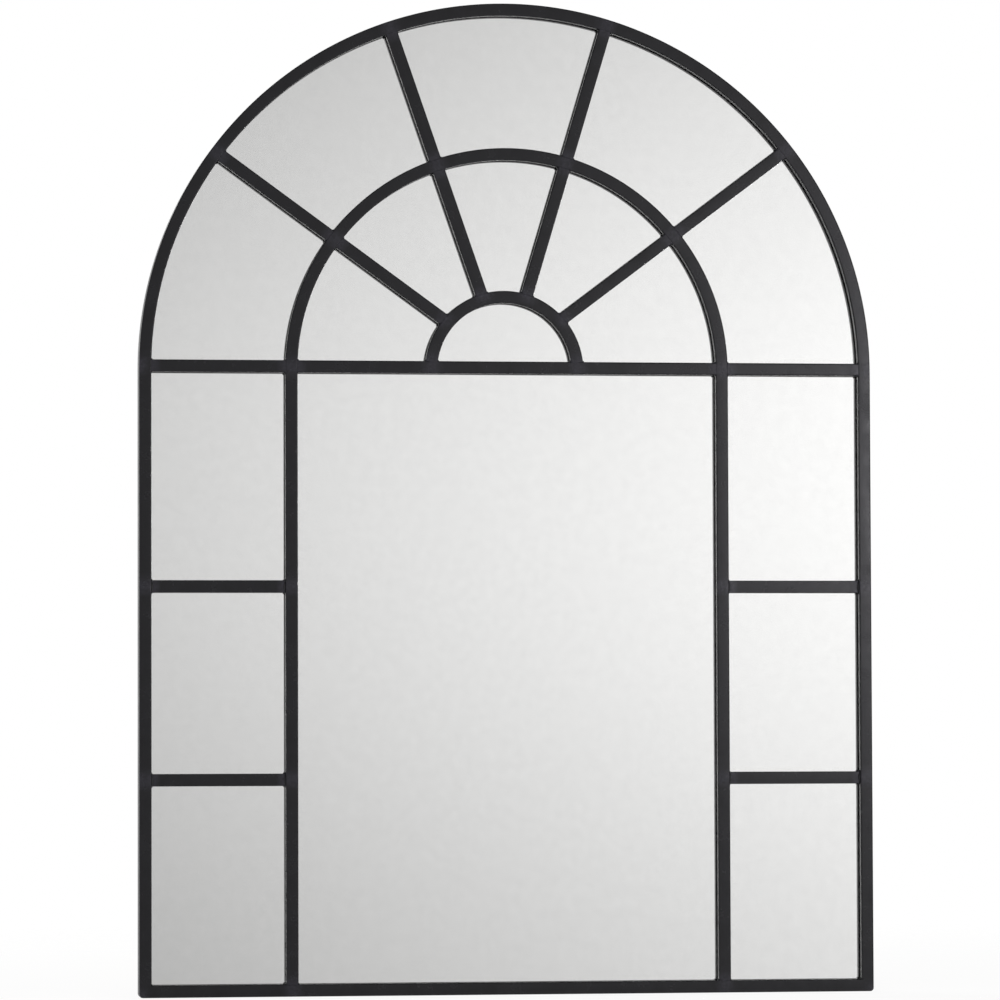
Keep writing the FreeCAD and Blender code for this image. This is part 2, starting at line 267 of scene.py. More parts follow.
@dataclass(frozen=True)
class PowderCoat(Finish):
    """Sprayed and baked coat on steel: orange peel, dressed joints with a painted highlight, and a little
    dust.
    """

    # Paler, bluer colour of the dressed joints, which is partly a painted highlight.
    weld_tint_and_highlight: str = "#4C4A55"
    dust: str = "#5A5A5A"
    dust_share: float = 0.22
    peel_mm: float = 1.8
    peel_height: float = 0.025 * MM
    lump_mm: float = 4.0
    lump_height: float = 0.25 * MM

    def patterns(self, tree: NodeTree, place: NodeSocket) -> dict:
        """Lay peel, joints with their painted highlight, and dust over the coat's own drift of tone and
        gloss.

        Args:
            tree: the material's node tree.
            place: the piece's own coordinates.

        Returns:
            What the shader's sockets read.
        """
        links = super().patterns(tree, place)
        # Orange peel: drawn at 1.8 mm, about twice the real pitch, so that it shows at all.
        peel = add_node(tree, "TexNoise", {"Scale": per_metre(self.peel_mm)}, {"Vector": place})
        # What the grinder left of a weld, softened by the coat.
        texture = {"Scale": per_metre(self.lump_mm), "Detail": 3.0, "Distortion": 0.6}
        lumps = add_node(tree, "TexNoise", texture, {"Vector": place})
        weld_zone = add_node(tree, "Attribute", attribute_name="weld_zone").outputs["Fac"]
        joint = add_node(tree, "Math", links={0: weld_zone, 1: lumps}, operation="MULTIPLY")
        # Joints were ground and dressed before coating: a slightly paler, bluer patch, which is partly their
        # own tint and partly a painted highlight.
        layers = {0: joint, 6: links["Base Color"]}
        joint_tinted_and_highlit = add_node(tree, "Mix", {7: linear(self.weld_tint_and_highlight)}, layers, data_type="RGBA")
        # Dust settles on faces that look up.
        normal = add_node(tree, "NewGeometry").outputs["Normal"]
        up = add_node(tree, "SeparateXYZ", links={0: normal}).outputs["Z"]
        span = dict(zip(RANGE, (0.5, 1.0, 0.0, self.dust_share)))
        upward = add_node(tree, "MapRange", span, {"Value": up})
        settled = add_node(tree, "Math", links={0: upward, 1: peel}, operation="MULTIPLY")
        layers = {0: settled, 6: joint_tinted_and_highlit.outputs[2]}
        dusty = add_node(tree, "Mix", {7: linear(self.dust)}, layers, data_type="RGBA")
        depth = {"Strength": 0.5, "Distance": self.peel_height}
        peel_bump = add_node(tree, "Bump", depth, {"Height": peel})
        depth = {"Strength": 0.8, "Distance": self.lump_height}
        lump_bump = add_node(tree, "Bump", depth, {"Height": joint, "Normal": peel_bump})
        return {**links, "Base Color": dusty.outputs[2], "Normal": lump_bump}


FINISHES: dict[Slot, Finish] = {
    # Polyester powder coat, satin black. The film's thickness drifts in broad soft patches, which
    # read as the passes of a hand-held gun.
    Slot.PAINT: PowderCoat(
        name="powder_coat_satin_black", grain_mm=22.0,
        tones=((0.3, "#161617"), (0.7, "#1D1D1F")),
        texture={"Detail": 4.0, "Roughness": 0.6},
        fixed={"Specular IOR Level": 0.31, "Specular Tint": linear("#FBF9FF")},
        gloss=(0.19, 0.30), gloss_span=(0.3, 0.7),
    ),
    # The same powder coat over a weld: it pools in the ripples and is a little paler and duller.
    Slot.WELD: Finish(
        name="powder_coat_over_weld", grain_mm=1.6,
        tones=((0.35, "#19191B"), (0.7, "#2A2A2E")),
        texture={"Detail": 3.0},
        fixed={"Specular IOR Level": 0.45},
        gloss=(0.33, 0.45), gloss_span=(0.3, 0.7), relief=(0.6, 0.12),
    ),
    # Clear float glass, 4 mm: a faint green cast, and barely rougher streaks where it was wiped.
    Slot.GLASS: Finish(
        name="float_glass_clear", grain_mm=90.0,
        texture={"Detail": 5.0, "Roughness": 0.65},
        fixed={"Base Color": linear("#FDFEFD"), "IOR": 1.52, "Transmission Weight": 1.0},
        streaks=(35.0, 0.25),
        gloss=(0.0, 0.008), gloss_span=(0.55, 0.8),
    ),
    # Wet-coated silver behind the glass: a near-perfect mirror, faintly clouded where it is thin.
    Slot.SILVER: Finish(
        name="mirror_silver_wet_coated", grain_mm=14.0,
        tones=((0.35, "#F2F0F1"), (0.65, "#F5F3F4")),
        texture={"Detail": 6.0, "Roughness": 0.7},
        fixed={"Metallic": 1.0, "Roughness": 0.0},
    ),
    # Oil-tempered hardboard: short brown fibres pressed every way, with a dull, slightly waxy face.
    Slot.BOARD: Finish(
        name="hardboard_pressed_fibre", grain_mm=1.5,
        tones=((0.3, "#5A3F29"), (0.5, "#7A5A3C"), (0.72, "#97754F")),
        texture={"Detail": 8.0, "Roughness": 0.75, "Distortion": 1.4},
        gloss=(0.55, 0.8), relief=(0.35, 0.1), clouds=(0.16, 110.0),
    ),
    # Closed-cell foam tape: matt black, with cut cells that catch the light at their rims.
    Slot.FOAM: Finish(
        name="foam_tape_closed_cell", grain_mm=0.9,
        tones=((0.1, "#0E0E0E"), (0.7, "#1C1C1C")), grain=Grain.CELLS,
        gloss=(0.85, 0.95), relief=(0.6, 0.12),
    ),
    # Moulded neoprene: black, a little shinier than foam, with the mould's faint pebbling.
    Slot.RUBBER: Finish(
        name="neoprene_pad_moulded", grain_mm=1.4,
        tones=((0.1, "#141414"), (0.7, "#222222")), grain=Grain.CELLS,
        gloss=(0.65, 0.75), relief=(0.6, 0.05),
    ),
    # Bright electroplated zinc, passivated: bluish silver, cloudy from handling in bulk.
    Slot.ZINC: Finish(
        name="zinc_plate_bright", grain_mm=2.5,
        tones=((0.3, "#A7ABAF"), (0.7, "#CDD0D2")),
        texture={"Detail": 5.0, "Roughness": 0.65},
        fixed={"Metallic": 1.0},
        gloss=(0.22, 0.45), relief=(0.2, 0.03),
    ),
}


# ---- mesh tools


@dataclass(frozen=True)
class BarSection:
    """Section of a bar: across the face, along the depth, and the roll of its corners."""

    width: float
    depth: float
    roll: float
    segments: int = 4

    def face(self, bm: BMesh) -> BMFace:
        """Draw the section in the XY plane.

        Args:
            bm: the empty mesh that gets it.

        Returns:
            The rounded face, centred on the origin.
        """
        made = bmesh.ops.create_grid(bm, x_segments=1, y_segments=1, size=0.5)
        bmesh.ops.scale(bm, vec=(self.width, self.depth, 1.0), verts=made["verts"])
        bmesh.ops.bevel(
            bm, geom=made["verts"], offset=self.roll, segments=self.segments, profile=0.5, affect="VERTICES"
        )
        bm.faces.ensure_lookup_table()
        return bm.faces[0]

    def sweep(
        self, first: Matrix, last: Matrix, steps: int, travel: float = 0.0, angle: float = 0.0
    ) -> BMesh:
        """Sweep the section along Z, or round an axis that leaves the wall at the origin.

        Args:
            first: where the section stands before the sweep.
            last: where the swept bar is then put.
            steps: number of steps.
            travel: length of one step along Z.
            angle: whole turn, from +X towards +Z.

        Returns:
            A closed bar.
        """
        bm = bmesh.new()
        face = self.face(bm)
        bmesh.ops.transform(bm, matrix=first, verts=bm.verts)
        axis = (0.0, -1.0, 0.0)
        bmesh.ops.spin(bm, geom=[face], axis=axis, dvec=(0.0, 0.0, travel), angle=angle, steps=steps)
        bmesh.ops.transform(bm, matrix=last, verts=bm.verts)
        close_ends(bm)
        return bm


def close_ends(bm: BMesh) -> None:
    """Close open ends and turn every face outwards."""
    rims = [edge for edge in bm.edges if edge.is_boundary]
    if rims:
        bmesh.ops.holes_fill(bm, edges=rims, sides=0)
    bmesh.ops.recalc_face_normals(bm, faces=bm.faces)


def straight_bar(section: BarSection, start: Vector, end: Vector) -> BMesh:
    """Draw a section out along a straight line, in even steps.

    Args:
        section: the bar's section.
        start: middle of the section at one end.
        end: middle of the section at the other end.

    Returns:
        A closed bar.
    """
    run = end - start
    steps = max(2, round(run.length / RING_PITCH))
    turn = Matrix.Rotation(math.atan2(run.x, run.z), 4, "Y")
    return section.sweep(Matrix(), Matrix.Translation(start) @ turn, steps, travel=run.length / steps)


def arched_bar(section: BarSection, radius: float, centre: Vector, steps: int, foot: float = 0.0) -> BMesh:
    """Spin a section over an arch, round a horizontal axis through the wall.

    Args:
        section: the bar's section.
        radius: from the centre to the middle of the section.
        centre: centre of the arch, at the depth of the section's middle.
        steps: number of facets along the arch.
        foot: angle in degrees by which each foot stops short of a half circle.

    Returns:
        A closed bar.
    """
    begin = Matrix.Rotation(-math.radians(foot), 4, "Y") @ Matrix.Translation((radius, 0.0, 0.0))
    return section.sweep(begin, Matrix.Translation(centre), steps, angle=math.radians(180 - 2 * foot))


def cut_away(bm: BMesh, point: Vector, direction: Vector) -> None:
    """Cut off what lies beyond a plane and close the cut.

    Args:
        bm: the mesh to cut.
        point: a point of the plane.
        direction: the plane's normal, towards the waste.
    """
    parts = bm.verts[:] + bm.edges[:] + bm.faces[:]
    bmesh.ops.bisect_plane(
        bm, geom=parts, dist=CUT_TOLERANCE, plane_co=point, plane_no=direction, clear_outer=True
    )
    close_ends(bm)


def cope(bm: BMesh, tip: Vector, centre: Vector, radius: float) -> None:
    """Slide the points of a straight bar's end along it, on to a round bar.

    Args:
        bm: the bar.
        tip: middle of the end that is shaped.
        centre: centre of the round bar's arch.
        radius: radius of the line that the end is brought to.
    """
    along = Vector((tip.x - centre.x, 0.0, tip.z - centre.z)).normalized()
    for vert in bm.verts:
        away = Vector((vert.co.x - centre.x, 0.0, vert.co.z - centre.z))
        reach = away.dot(along)
        # Only the last ring of points lies this near.
        if abs(reach - radius) < RING_PITCH / 3 and (vert.co - tip).length < 2 * RING_PITCH:
            aside = (away - along * reach).length
            vert.co += along * (math.sqrt(radius**2 - aside**2) - reach)


# ---- the mirror


@dataclass(frozen=True)
class Plan:
    """Sizes that every sub-assembly shares."""

    arch_z: float = -310 * MM
    half_width: float = 450 * MM
    tube: BarSection = BarSection(15 * MM, 10 * MM, 1.5 * MM)
    tube_y: float = -23 * MM
    inner_radius: float = 265 * MM
    hub_radius: float = 90 * MM
    hub_shift: float = -4 * MM
    transom_rise: float = 3.5 * MM
    rail_drop: float = 755 * MM
    crossbar_drops: tuple[tuple[str, float], ...] = (("upper", 267 * MM), ("lower", 501 * MM))
    corner_round: float = 5 * MM
    corner_cuts: tuple[float, ...] = (15, 30, 45, 60, 75)
    bite: float = 0.6 * MM

    @property
    def half_tube(self) -> float:
        """Half the face width of a tube."""
        return self.tube.width / 2

    @property
    def outer_radius(self) -> float:
        """Centre line of the outer arch and stiles."""
        return self.half_width - self.half_tube

    @property
    def transom_z(self) -> float:
        """Centre line of the transom."""
        return self.arch_z + self.transom_rise

    @property
    def rail_z(self) -> float:
        """Centre line of the bottom rail."""
        return self.transom_z - self.rail_drop

    @property
    def bottom_z(self) -> float:
        """Underside of the frame."""
        return self.rail_z - self.half_tube

    def beyond(self, line: float) -> float:
        """Where a bar ends that bites into the far side of the tube on a centre line."""
        return line + self.half_tube - self.bite

    def before(self, line: float) -> float:
        """Where a bar ends that bites into the near side of the tube on a centre line."""
        return line - self.half_tube + self.bite

    def at(self, x: float, z: float, y: float | None = None) -> Vector:
        """Point on the tubes' middle plane, or at another depth."""
        return Vector((x, self.tube_y if y is None else y, z))

    def crossbar_ends(self, x: float) -> list[Vector]:
        """Heights where the crossbars meet a stile, as points at its X."""
        return [self.at(x, self.transom_z - drop) for _, drop in self.crossbar_drops]

    def hub_feet(self, z: float) -> list[Vector]:
        """Points at the X of the hub's two feet, at one height."""
        return [self.at(self.hub_shift + side.value * self.hub_radius, z) for side in Side]

    def arch_centre(self, shift: float = 0.0) -> Vector:
        """Centre of the arches on the tubes' middle plane."""
        return self.at(shift, self.arch_z)

    def round_corner(self, bm: BMesh, side: Side) -> None:
        """Round a bar at one bottom corner of the frame.

        Args:
            bm: the bar that reaches the corner.
            side: left or right corner.
        """
        x = side.value * (self.half_width - self.corner_round)
        middle = self.at(x, self.bottom_z + self.corner_round)
        for angle in self.corner_cuts:
            turn = math.radians(angle)
            outward = Vector((side.value * math.cos(turn), 0.0, -math.sin(turn)))
            cut_away(bm, middle + outward * self.corner_round, outward)


@dataclass(frozen=True)
class Spoke:
    """One spoke line: its direction, and how far it passes to the left of the arch's centre."""

    name: str
    angle: float
    offset: float

    def point(self, plan: Plan, radius: float, centre_shift: float = 0.0) -> Vector:
        """Point of the spoke's centre line at a distance from an arch's centre.

        Args:
            plan: the shared sizes.
            radius: the distance.
            centre_shift: X of that arch's centre.

        Returns:
            The point on the tubes' middle plane.
        """
        turn = math.radians(self.angle)
        along = Vector((math.cos(turn), 0.0, math.sin(turn)))
        aside = Vector((-math.sin(turn), 0.0, math.cos(turn)))
        foot = aside * self.offset - Vector((centre_shift, 0.0, 0.0))
        reach = -foot.dot(along) + math.sqrt(foot.dot(along) ** 2 - foot.length_squared + radius**2)
        return plan.arch_centre() + aside * self.offset + along * reach


SPOKES = (
    Spoke("right_low", 37.0, 10.0 * MM),
    Spoke("right_high", 73.3, 3.6 * MM),
    Spoke("left_high", 109.0, 0.0),
    Spoke("left_low", 144.0, -4.0 * MM),
)


@dataclass
class Assembly:
    """What every sub-assembly has: the sizes, the finishes, and how far and how strongly its joints show,
    with their tint and its painted highlight.
    """

    plan: Plan
    finishes: dict[Slot, Material]
    joint_reach: float = 14 * MM
    joint_strength_and_highlight: float = 1.0

    def build(self) -> Iterator[Object]:
        """Build the pieces one by one."""
        raise NotImplementedError

    def piece(
        self, bm: BMesh, name: str, node: str, joints: Sequence[Vector] = (), slot: Slot = Slot.PAINT
    ) -> Object:
        """Turn a finished mesh into a dressed piece of the object.

        Args:
            bm: the mesh, which is used up.
            name: name of the piece.
            node: CAD node that it stands for.
            joints: middles of the welded joints that show on it.
            slot: slot that it takes its finish from.

        Returns:
            The new object, riding on the root body.
        """
        if joints:
            # The paint reads here how near each point is to a welded joint, for the joint's relief, tint and
            # painted highlight.
            layer = bm.verts.layers.float.new("weld_zone")
            for vert in bm.verts:
                nearest = min(math.hypot(vert.co.x - p.x, vert.co.z - p.z) for p in joints)
                vert[layer] = self.joint_strength_and_highlight * max(0.0, 1.0 - nearest / self.joint_reach)
        for face in bm.faces:
            face.smooth = True
        for edge in bm.edges:
            edge.smooth = edge.is_manifold and edge.calc_face_angle(0.0) < SHARP_ANGLE
        piece = mesh_object(bm, name, self.finishes[slot])
        piece.modifiers.new("flat_faces", "WEIGHTED_NORMAL").keep_sharp = True
        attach(piece, "root")
        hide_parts(node)
        return piece


@dataclass
class OuterFrame(Assembly):
    """Outer arch, two stiles and the bottom rail, mitred at the foot."""

    arch_steps: int = 180

    def joints(self) -> list[Vector]:
        """Find the middles of the joints on this frame.

        Returns:
            Joints of the spokes, transom, corners, inner stiles and crossbars.
        """
        plan = self.plan
        found = [spoke.point(plan, plan.outer_radius) for spoke in SPOKES]
        for side in Side:
            found += [plan.at(side.value * plan.half_width, z) for z in (plan.transom_z, plan.bottom_z)]
            found.append(plan.at(side.value * plan.inner_radius, plan.rail_z))
            found += plan.crossbar_ends(side.value * plan.outer_radius)
        return found

    def build(self) -> Iterator[Object]:
        """Build the four bars.

        Returns:
            The arch, the stiles and the rail, in turn.
        """
        plan = self.plan
        joints = self.joints()
        arch = arched_bar(plan.tube, plan.outer_radius, plan.arch_centre(), self.arch_steps)
        yield self.piece(arch, "arch_tube_outer", "outer_arch", joints)
        ends = [plan.at(side.value * plan.half_width, plan.rail_z) for side in Side]
        rail = straight_bar(plan.tube, *ends)
        for side in Side:
            corner = plan.at(side.value * plan.half_width, plan.bottom_z)
            x = side.value * plan.outer_radius
            stile = straight_bar(plan.tube, plan.at(x, plan.bottom_z), plan.at(x, plan.arch_z))
            for bar, sign in ((stile, -1.0), (rail, 1.0)):
                cut_away(bar, corner, Vector((sign * side.value, 0.0, sign)))
                plan.round_corner(bar, side)
            yield self.piece(stile, "stile_tube_outer_" + side.word, "outer_stile_" + side.word, joints)
        yield self.piece(rail, "rail_tube_bottom", "bottom_rail", joints)


@dataclass
class InnerWindow(Assembly):
    """Inner arch and stiles, the transom in three lengths, the hub and the eight spoke lengths."""

    arch_steps: int = 128
    hub_steps: int = 48
    hub_foot_angle: float = 6.4

    def build(self) -> Iterator[Object]:
        """Build every bar inside the outer frame.

        Returns:
            The arches, the stiles, the transom's lengths and the spokes, in turn.
        """
        for part in (self.arches, self.stiles, self.transoms, self.spokes):
            yield from part()

    def arches(self) -> Iterator[Object]:
        """Build the two arches.

        Returns:
            The inner arch and the hub.
        """
        plan = self.plan
        inner = arched_bar(plan.tube, plan.inner_radius, plan.arch_centre(), self.arch_steps)
        joints = [spoke.point(plan, plan.inner_radius) for spoke in SPOKES]
        joints += [plan.at(side.value * plan.inner_radius, plan.transom_z) for side in Side]
        yield self.piece(inner, "arch_tube_inner", "inner_arch", joints)
        centre = plan.arch_centre(plan.hub_shift)
        hub = arched_bar(plan.tube, plan.hub_radius, centre, self.hub_steps, self.hub_foot_angle)
        joints = [spoke.point(plan, plan.hub_radius + plan.half_tube, plan.hub_shift) for spoke in SPOKES]
        joints += plan.hub_feet(plan.transom_z + plan.half_tube)
        yield self.piece(hub, "arch_tube_hub", "hub_arch", joints)

    def stiles(self) -> Iterator[Object]:
        """Build the inner stiles, from the bottom rail to the spring line.

        Returns:
            The left and the right stile.
        """
        plan = self.plan
        for side in Side:
            x = side.value * plan.inner_radius
            foot = plan.at(x, plan.beyond(plan.rail_z))
            stile = straight_bar(plan.tube, foot, plan.at(x, plan.arch_z))
            joints = [foot, plan.at(x, plan.transom_z)] + plan.crossbar_ends(x)
            yield self.piece(stile, "stile_tube_inner_" + side.word, "inner_stile_" + side.word, joints)

    def transoms(self) -> Iterator[Object]:
        """Build the transom, butted on the stiles' sides.

        Returns:
            Its three lengths, from left to right.
        """
        plan = self.plan
        near, far = plan.beyond(plan.inner_radius), plan.before(plan.outer_radius)
        middle = plan.before(plan.inner_radius)
        for place, run in (("left", (-far, -near)), ("middle", (-middle, middle)), ("right", (near, far))):
            ends = [plan.at(x, plan.transom_z) for x in run]
            joints = ends + plan.hub_feet(plan.transom_z)
            bar = straight_bar(plan.tube, *ends)
            yield self.piece(bar, "transom_tube_" + place, "transom_" + place, joints)

    def spokes(self) -> Iterator[Object]:
        """Build the spokes, coped to the arches at both ends.

        Returns:
            For each spoke, its length from the hub and its length from the inner arch.
        """
        plan = self.plan
        hub, inner, outer = plan.hub_radius, plan.inner_radius, plan.outer_radius
        lengths = (
            ("inner_", plan.hub_shift, plan.beyond(hub), plan.before(inner)),
            ("outer_", 0.0, plan.beyond(inner), plan.before(outer)),
        )
        for spoke in SPOKES:
            for place, shift, near, far in lengths:
                ends = [spoke.point(plan, near, shift), spoke.point(plan, far)]
                bar = straight_bar(plan.tube, *ends)
                cope(bar, ends[0], plan.arch_centre(shift), near)
                cope(bar, ends[1], plan.arch_centre(), far)
                node = place + "spoke_" + spoke.name
                yield self.piece(bar, "spoke_tube_" + place + spoke.name, node, ends)


@dataclass
class Crossbars(Assembly):
    """Flat crossbars of the side lights, set back from the front."""

    joint_reach: float = 12 * MM
    # Joints show more strongly here: the paler patch at each crossbar end is partly a painted highlight.
    joint_strength_and_highlight: float = 2.2
    section: BarSection = BarSection(15 * MM, 5 * MM, 0.7 * MM, 3)
    middle_y: float = -20.5 * MM

    def build(self) -> Iterator[Object]:
        """Build the four crossbars.

        Returns:
            The upper two and the lower two.
        """
        plan = self.plan
        run = (plan.beyond(plan.inner_radius), plan.before(plan.outer_radius))
        for level, drop in plan.crossbar_drops:
            for side in Side:
                ends = [plan.at(side.value * x, plan.transom_z - drop, self.middle_y) for x in run]
                place = "crossbar_" + level + "_" + side.word
                yield self.piece(straight_bar(self.section, *ends), "flat_" + place, place, ends)


@dataclass
class WeldBeads(Assembly):
    """Small lumpy beads in the corners of the panes and at the crossbars' ends."""

    pane_radius: float = 1.15 * MM
    crossbar_radius: float = 1.5 * MM
    sink: float = 0.4
    end_gap: float = 0.3 * MM
    lumpiness: float = 0.3 * MM
    lump_mm: float = 1.6
    facets: tuple[int, int] = (14, 10)
    core: tuple[float, float] = (0.15, 0.85)

    def solids(self, node: str) -> list[list[Vector]]:
        """Read where each weld of a CAD node lies.

        Args:
            node: name of the CAD node.

        Returns:
            The corners of each of its solids.
        """
        bm = bmesh.new()
        bm.from_mesh(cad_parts[node].data)
        bmesh.ops.remove_doubles(bm, verts=bm.verts, dist=MERGE_DISTANCE)
        waiting = set(bm.verts)
        found = []
        while waiting:
            group = [min(waiting, key=lambda vert: vert.index)]
            waiting.discard(group[0])
            for vert in group:
                for edge in vert.link_edges:
                    other = edge.other_vert(vert)
                    if other in waiting:
                        waiting.discard(other)
                        group.append(other)
            found.append([vert.co.copy() for vert in group])
        bm.free()
        return found

    def bead(self, bm: BMesh, start: Vector, end: Vector, radius: float) -> None:
        """Lay one bead between two points, a little uneven like a real one.

        Args:
            bm: mesh that gets the bead.
            start: one end of the bead.
            end: its other end.
            radius: half its thickness.
        """
        run = end - start
        lie = run.to_track_quat("Z", "Y").to_matrix().to_4x4()
        stretch = Matrix.Diagonal((radius, radius, run.length / 2, 1.0))
        place = Matrix.Translation((start + end) / 2) @ lie @ stretch
        around, along = self.facets
        made = bmesh.ops.create_uvsphere(bm, u_segments=around, v_segments=along, radius=1.0, matrix=place)
        low, high = self.core
        for vert in made["verts"]:
            core = start + run * max(low, min(high, (vert.co - start).dot(run) / run.length_squared))
            lump = noise.noise(vert.co * per_metre(self.lump_mm))
            vert.co += (vert.co - core).normalized() * lump * self.lumpiness

    def pane_corner(self, points: list[Vector]) -> tuple[Vector, Vector]:
        """Find the line of a bead that fills the corner of a pane.

        Args:
            points: corners of the CAD fillet there.

        Returns:
            The bead's front end and rear end.
        """
        flat = [Vector((p.x, 0.0, p.z)) for p in points]
        tips = max(((a, b) for a in flat for b in flat), key=lambda pair: (pair[0] - pair[1]).length)
        root = max(flat, key=lambda p: min((p - tips[0]).length, (p - tips[1]).length))
        place = root.lerp((tips[0] + tips[1]) / 2, self.sink)
        front = min(p.y for p in points) - self.end_gap
        rear = max(p.y for p in points) + self.end_gap
        return Vector((place.x, front, place.z)), Vector((place.x, rear, place.z))

    def crossbar_end(self, points: list[Vector]) -> tuple[Vector, Vector]:
        """Find the line of a bead between a crossbar's face and a stile's side.

        Args:
            points: corners of the CAD fillet there.

        Returns:
            The bead's lower end and upper end.
        """
        root_y = max(p.y for p in points)
        wall_x = next(p.x for p in points if p.y < root_y - self.end_gap)
        open_x = max((p.x for p in points), key=lambda x: abs(x - wall_x))
        front_y = min(p.y for p in points)
        x = wall_x + (open_x - wall_x) * self.sink / 2
        y = root_y + (front_y - root_y) * self.sink / 2
        return Vector((x, y, min(p.z for p in points))), Vector((x, y, max(p.z for p in points)))

    def build(self) -> Iterator[Object]:
        """Build the beads.

        Returns:
            The beads of the panes, then those of the crossbars.
        """
        kinds = (
            ("grille_welds", "weld_beads_panes", self.pane_corner, self.pane_radius),
            ("crossbar_welds", "weld_beads_crossbars", self.crossbar_end, self.crossbar_radius),
        )
        for node, name, find_line, radius in kinds:
            bm = bmesh.new()
            for points in self.solids(node):
                self.bead(bm, *find_line(points), radius)
            yield self.piece(bm, name, node, slot=Slot.WELD)


@dataclass
class RearRim(Assembly):
    """Flat bar on edge behind the outer tubes, which boxes in the sheets."""

    section: BarSection = BarSection(3 * MM, 18 * MM, 0.5 * MM, 3)
    middle_y: float = -9 * MM
    arch_steps: int = 180

    def build(self) -> Iterator[Object]:
        """Build the rim.

        Returns:
            Its arch, its two sides and its floor, in turn.
        """
        plan = self.plan
        radius = plan.half_width - self.section.width / 2
        centre = plan.at(0.0, plan.arch_z, self.middle_y)
        arch = arched_bar(self.section, radius, centre, self.arch_steps)
        yield self.piece(arch, "rim_bar_arch", "rear_rim_arch")
        for side in Side:
            ends = [plan.at(side.value * radius, z, self.middle_y) for z in (plan.bottom_z, plan.arch_z)]
            bar = straight_bar(self.section, *ends)
            plan.round_corner(bar, side)
            yield self.piece(bar, "rim_bar_" + side.word, "rear_rim_" + side.word)
        inside = plan.half_width - self.section.width
        z = plan.bottom_z + self.section.width / 2
        ends = [plan.at(side.value * inside, z, self.middle_y) for side in Side]
        yield self.piece(straight_bar(self.section, *ends), "rim_bar_bottom", "rear_rim_bottom")


